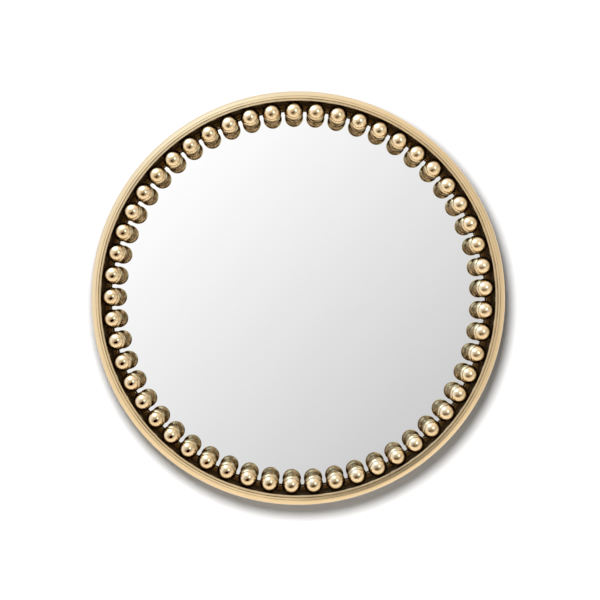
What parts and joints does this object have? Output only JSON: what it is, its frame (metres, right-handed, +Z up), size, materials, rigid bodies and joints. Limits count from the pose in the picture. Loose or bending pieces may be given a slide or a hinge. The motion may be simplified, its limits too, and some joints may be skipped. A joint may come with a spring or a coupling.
{
  "type": "round wall mirror",
  "caption": "Round flat wall mirror in a deep metal rim, with a ring of polished metal balls standing over the edge of the glass and hanging rings behind.",
  "frame": {"origin": "centre of the backing board's rear face", "axes": "the mirror faces -Y, +Y points at the wall that it hangs on, +Z is up and +X is to the right as seen from the front"},
  "size_m": [0.815, 0.0661, 0.815],
  "materials": {
    "satin_brass": "satin, finely brushed round the ring, pale brass",
    "antique_brass": "cast aluminium with a polished antique brass plating, darkened at the rim of each ball",
    "silvered_glass": "clear polished float glass, silvered",
    "black_board": "matt black painted fibreboard",
    "zinc_steel": "bright zinc plating"
  },
  "bodies": {
    "root": {"rim": "satin_brass", "mirror_glass": "silvered_glass", "backing_board": "black_board", "hanger_strap_left": "zinc_steel", "hanger_strap_right": "zinc_steel", "ball_01": "antique_brass", "ball_02": "antique_brass", "ball_03": "antique_brass", "ball_04": "antique_brass", "ball_05": "antique_brass", "ball_06": "antique_brass", "ball_07": "antique_brass", "ball_08": "antique_brass", "ball_09": "antique_brass", "ball_10": "antique_brass", "ball_11": "antique_brass", "ball_12": "antique_brass", "ball_13": "antique_brass", "ball_14": "antique_brass", "ball_15": "antique_brass", "ball_16": "antique_brass", "ball_17": "antique_brass", "ball_18": "antique_brass", "ball_19": "antique_brass", "ball_20": "antique_brass", "ball_21": "antique_brass", "ball_22": "antique_brass", "ball_23": "antique_brass", "ball_24": "antique_brass", "ball_25": "antique_brass", "ball_26": "antique_brass", "ball_27": "antique_brass", "ball_28": "antique_brass", "ball_29": "antique_brass", "ball_30": "antique_brass", "ball_31": "antique_brass", "ball_32": "antique_brass", "ball_33": "antique_brass", "ball_34": "antique_brass", "ball_35": "antique_brass", "ball_36": "antique_brass", "ball_37": "antique_brass", "ball_38": "antique_brass", "ball_39": "antique_brass", "ball_40": "antique_brass", "ball_41": "antique_brass", "ball_42": "antique_brass", "ball_43": "antique_brass", "ball_44": "antique_brass", "ball_45": "antique_brass", "ball_46": "antique_brass", "ball_47": "antique_brass", "ball_48": "antique_brass", "ball_49": "antique_brass", "ball_50": "antique_brass", "ball_51": "antique_brass", "ball_52": "antique_brass", "ball_53": "antique_brass"},
    "left_ring": {"hanging_ring_left": "zinc_steel"},
    "right_ring": {"hanging_ring_right": "zinc_steel"}
  },
  "joints": [
    {"name": "left_ring_swing", "type": "hinge", "parent": "root", "child": "left_ring", "pos_m": [-0.29993, 0.00325, 0.15], "axis": [1, 0, 0], "range_deg": [0, 180]},
    {"name": "right_ring_swing", "type": "hinge", "parent": "root", "child": "right_ring", "pos_m": [0.29993, 0.00325, 0.15], "axis": [1, 0, 0], "range_deg": [0, 180]}
  ]
}
